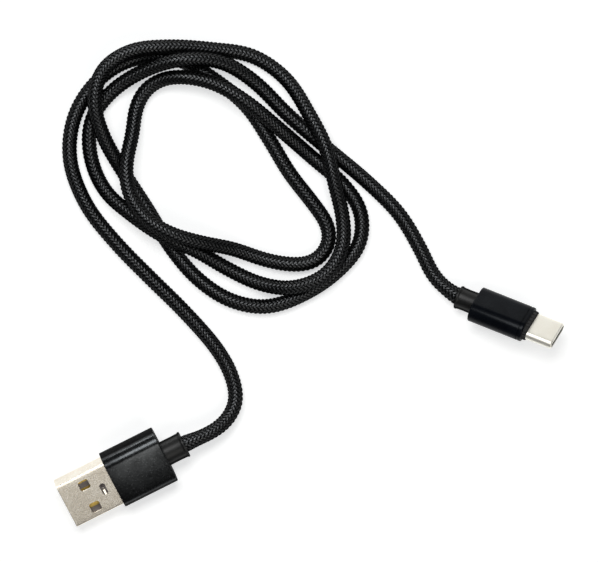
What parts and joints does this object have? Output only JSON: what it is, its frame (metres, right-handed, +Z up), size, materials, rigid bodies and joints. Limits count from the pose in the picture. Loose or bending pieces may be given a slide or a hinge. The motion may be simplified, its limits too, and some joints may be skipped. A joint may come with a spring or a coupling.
{
  "type": "charging cable",
  "caption": "Round braided charging cable with a USB-A plug and a USB-C plug, laid in a loose bundle of loops on a flat surface.",
  "frame": {"origin": "on the surface that the cable lies on, under the middle of the box that holds the two plugs", "axes": "+Z up from that surface; the plugs lie at the two ends of +X and -X, the USB-C plug towards +X, and the loops of cable lie towards +Y"},
  "size_m": [0.1213, 0.1158, 0.0122],
  "materials": {
    "plug_shell": "nickel plated, satin, slightly mottled",
    "usb_a_housing_metal": "anodised near-black, fine blasted satin",
    "usb_c_housing_metal": "anodised blue-black satin",
    "relief_plastic": "matt moulded",
    "trim_plastic": "fine textured moulded",
    "tongue_plastic": "glass-filled, matt",
    "slot_plastic": "glass-filled, matt",
    "contact_gold": "gold plated, bright",
    "spring_steel": "stainless, satin",
    "mould_plastic": "low-pressure moulded, natural",
    "board_laminate": "solder mask over glass laminate",
    "resistor_body": "ceramic chip with a glassy top",
    "braid_nylon": "herringbone braid with a soft sheen",
    "jacket_rubber": "smooth",
    "wire_red": "smooth insulation",
    "wire_white": "smooth insulation",
    "wire_green": "smooth insulation",
    "wire_black": "smooth insulation"
  },
  "bodies": {
    "root": {"usb_a_shell": "plug_shell", "usb_a_insulator": "tongue_plastic", "usb_a_contact_power": "contact_gold", "usb_a_contact_data_minus": "contact_gold", "usb_a_contact_data_plus": "contact_gold", "usb_a_contact_ground": "contact_gold", "usb_a_bezel": "trim_plastic", "usb_a_housing": "usb_a_housing_metal", "usb_a_inner_mould": "mould_plastic", "usb_a_end_cap": "trim_plastic", "usb_a_strain_relief": "relief_plastic", "usb_c_shell": "plug_shell", "usb_c_insulator": "slot_plastic", "usb_c_contacts_upper": "contact_gold", "usb_c_contacts_lower": "contact_gold", "usb_c_latch_spring": "spring_steel", "usb_c_ground_springs": "spring_steel", "usb_c_board": "board_laminate", "usb_c_resistor": "resistor_body", "usb_c_collar": "trim_plastic", "usb_c_housing": "usb_c_housing_metal", "usb_c_inner_mould": "mould_plastic", "usb_c_end_cap": "trim_plastic", "usb_c_strain_relief": "relief_plastic", "braided_sleeve": "braid_nylon", "cable_jacket": "jacket_rubber", "conductor_power": "wire_red", "conductor_data_minus": "wire_white", "conductor_data_plus": "wire_green", "conductor_ground": "wire_black"}
  },
  "joints": []
}
